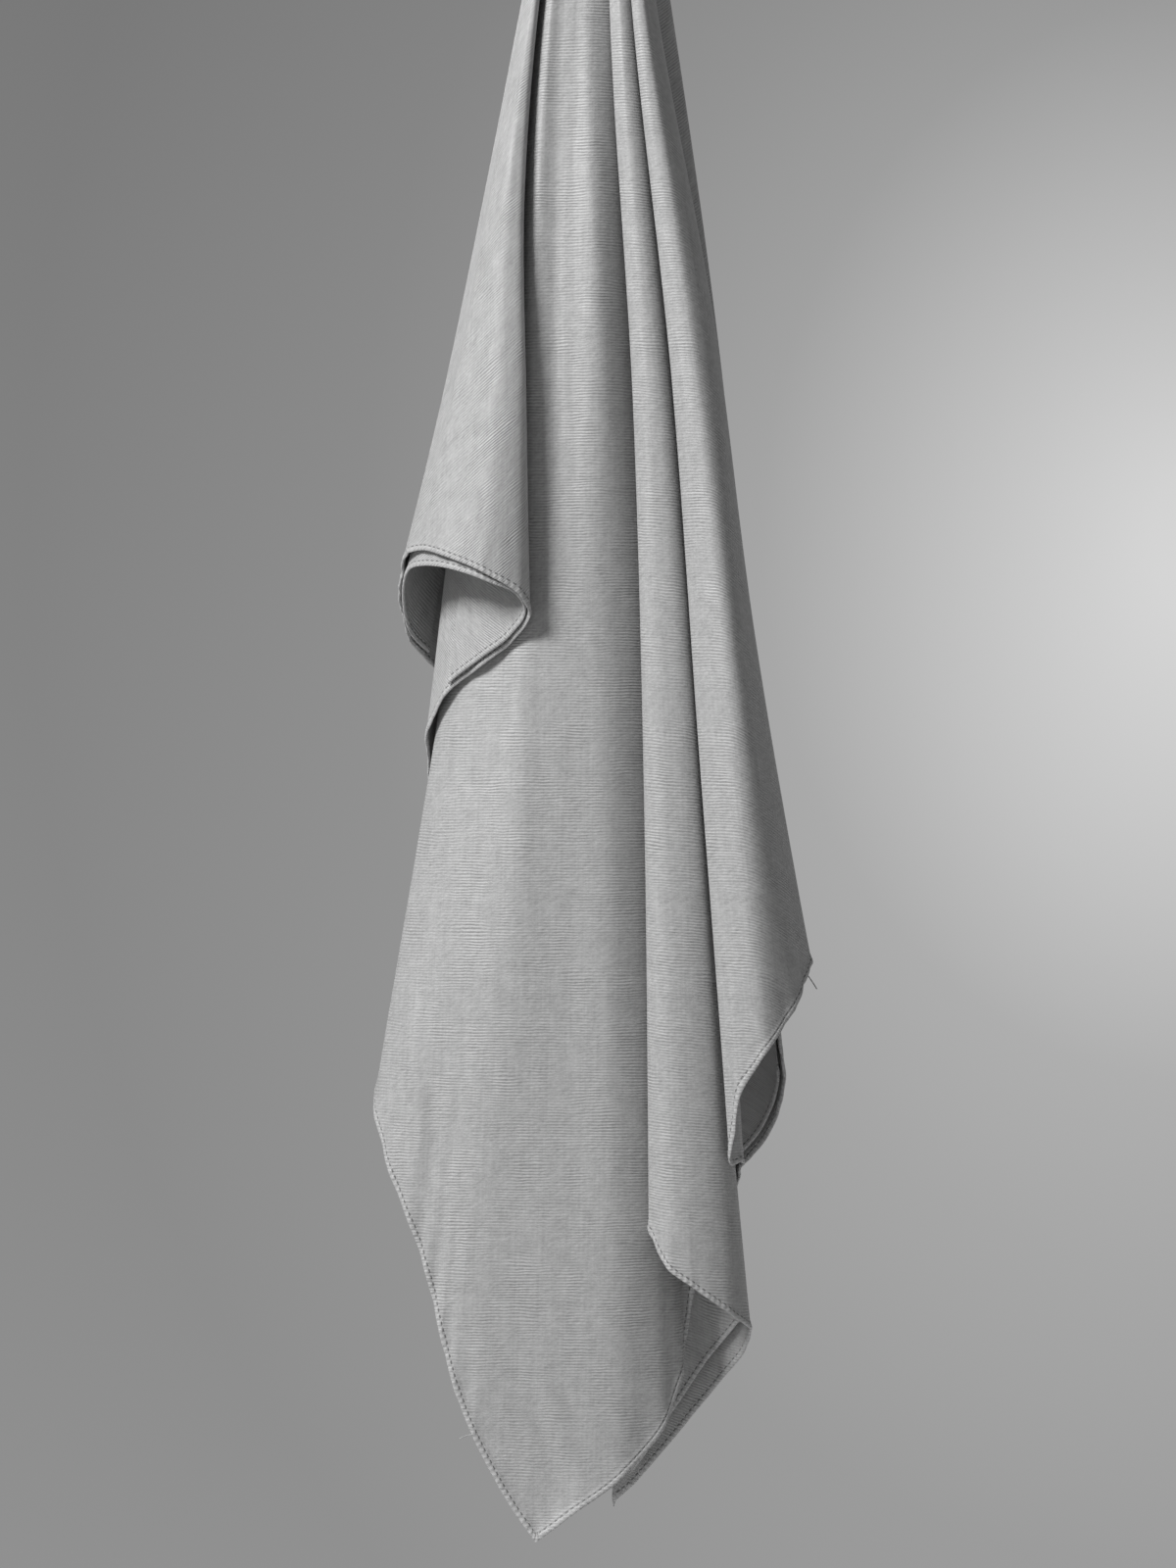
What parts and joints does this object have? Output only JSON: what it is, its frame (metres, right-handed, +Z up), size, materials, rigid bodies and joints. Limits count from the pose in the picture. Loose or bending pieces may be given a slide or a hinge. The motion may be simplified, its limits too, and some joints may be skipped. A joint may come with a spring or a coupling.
{
  "type": "hijab",
  "caption": "Square headscarf held up at a gathered point, falling in long soft folds with slanting narrow hems.",
  "frame": {"origin": "the point where the gathered scarf is held up, inside its gathered top", "axes": "+Z up, -Y the front seen in the picture, +X to the right of that front"},
  "size_m": [0.1958, 0.0979, 0.8155],
  "materials": {
    "cloth": "light grey fine twill with a soft lustre"
  },
  "bodies": {
    "root": {"gathered_top": "cloth", "left_roll": "cloth", "left_flap": "cloth", "left_underfold": "cloth", "left_inner_ply": "cloth", "main_side": "cloth", "main_panel": "cloth", "main_panel_right": "cloth", "middle_roll": "cloth", "middle_roll_side": "cloth", "middle_return": "cloth", "middle_inner_ply": "cloth", "right_underfold": "cloth", "right_turn": "cloth", "right_roll": "cloth", "right_roll_back": "cloth", "right_inner_ply": "cloth", "left_back_panel": "cloth", "right_back_panel": "cloth"}
  },
  "joints": []
}
